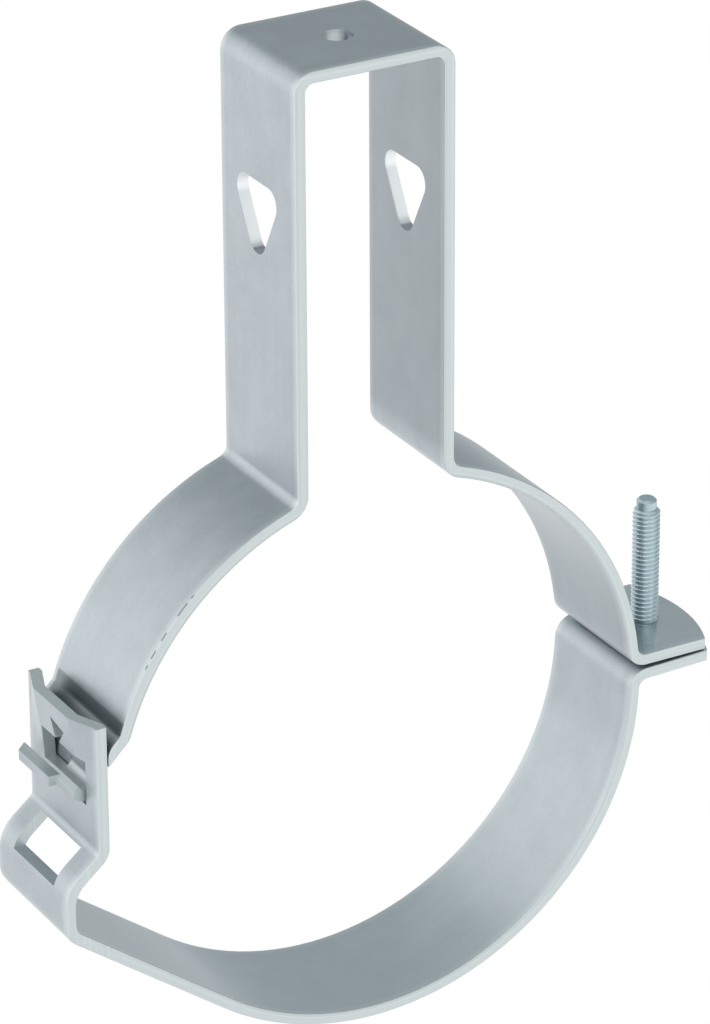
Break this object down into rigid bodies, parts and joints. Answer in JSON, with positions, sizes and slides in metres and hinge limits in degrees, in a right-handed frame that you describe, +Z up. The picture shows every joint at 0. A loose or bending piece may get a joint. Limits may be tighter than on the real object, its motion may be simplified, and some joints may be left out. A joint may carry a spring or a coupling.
{
  "type": "pipe bracket",
  "caption": "Flat steel bracket that clamps a round pipe below a square rail: a long yoke over a hinged ring, with a hooked latch opposite a flanged clamp screw.",
  "frame": {"origin": "centre of the pipe seat, on the middle of the strip's width", "axes": "+X towards the flanges and their screw, +Y along the pipe to the back, +Z up to the yoke"},
  "size_m": [0.1555, 0.03, 0.2133],
  "materials": {
    "galvanised_strip": "satin",
    "zinc_screw": "satin"
  },
  "bodies": {
    "upper_half": {"upper_half": "galvanised_strip"},
    "lower_half": {"lower_half": "galvanised_strip"},
    "clamp_screw": {"clamp_screw": "zinc_screw"}
  },
  "joints": [
    {"name": "lower_swing", "type": "hinge", "parent": "upper_half", "child": "lower_half", "pos_m": [-0.06255, 0, 0.014], "axis": [0, 1, 0], "range_deg": [0, 9.9]},
    {"name": "screw_travel", "type": "slide", "parent": "upper_half", "child": "clamp_screw", "axis": [0, 0, -1], "range_m": [0, 0.0255]}
  ],
  "couplings": [
    {"joint": "screw_travel", "follows": "lower_swing", "m_per_rad": 0.1475}
  ]
}
